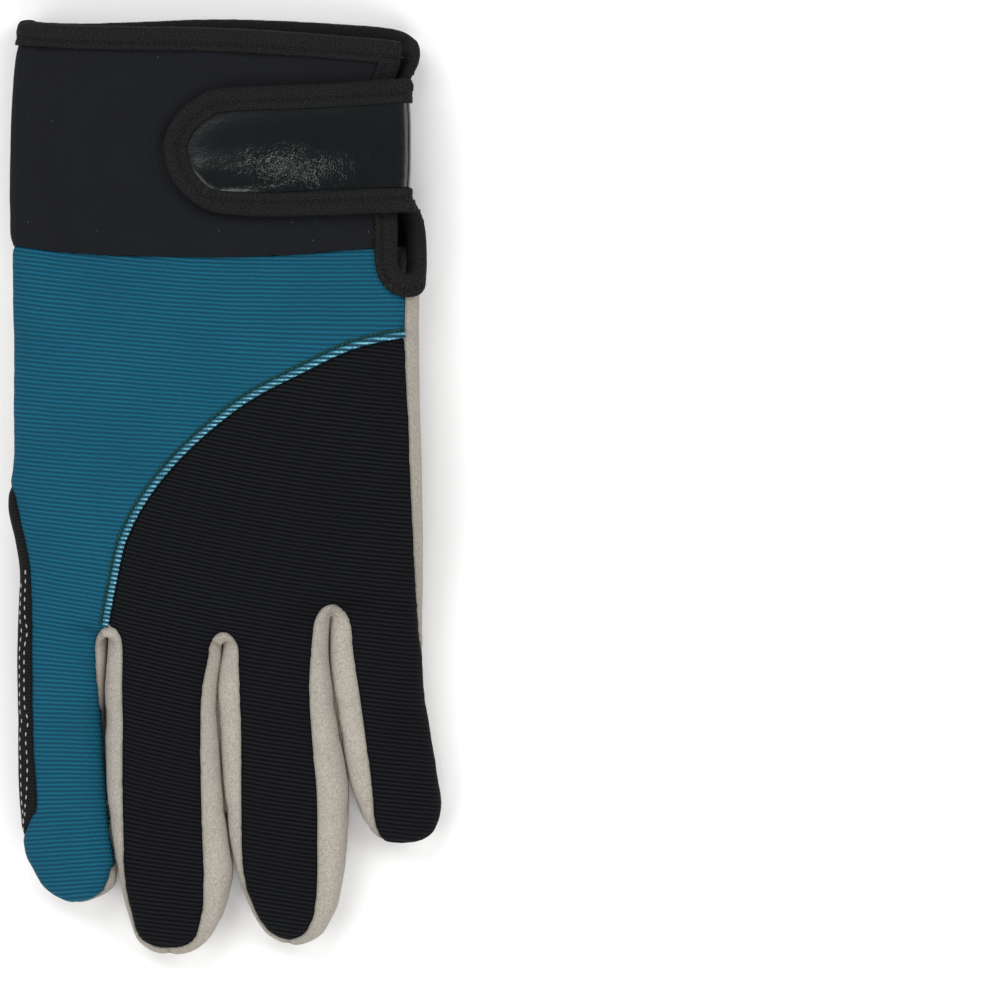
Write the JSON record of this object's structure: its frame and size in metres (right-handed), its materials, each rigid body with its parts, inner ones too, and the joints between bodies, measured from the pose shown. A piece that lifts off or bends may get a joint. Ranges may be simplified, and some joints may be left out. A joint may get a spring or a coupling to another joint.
{
  "type": "padded palm glove",
  "caption": "Left-hand sport glove lying back up: ribbed back, suede finger sides and padded palm, thumb folded under, foam cuff with a keyhole slit and a closing strap.",
  "frame": {"origin": "middle of the outline, on the surface the glove lies on", "axes": "+Z out of the back of the hand, -Y to the fingertips, +Y to the wrist opening, -X to the thumb side"},
  "size_m": [0.113, 0.2413, 0.0255],
  "materials": {
    "teal_rib": "fine rib knit",
    "black_rib": "fine rib knit",
    "suede": "napped suede",
    "guard_cloth": "tight weave",
    "pad_cloth": "grippy grain",
    "neoprene": "foam-backed jersey",
    "binding": "knitted tape",
    "gloss_patch": "grained gloss"
  },
  "bodies": {
    "root": {"back_teal": "teal_rib", "back_black": "black_rib", "fourchette_index_middle": "suede", "fourchette_middle_ring": "suede", "fourchette_ring_little": "suede", "index_guard": "guard_cloth", "palm": "suede", "palm_pad": "pad_cloth", "thumb": "suede", "cuff": "neoprene", "cuff_top_binding_back": "binding", "cuff_top_binding_palm": "binding", "slit_binding_back": "binding", "strap": "gloss_patch", "strap_binding": "binding"}
  },
  "joints": []
}
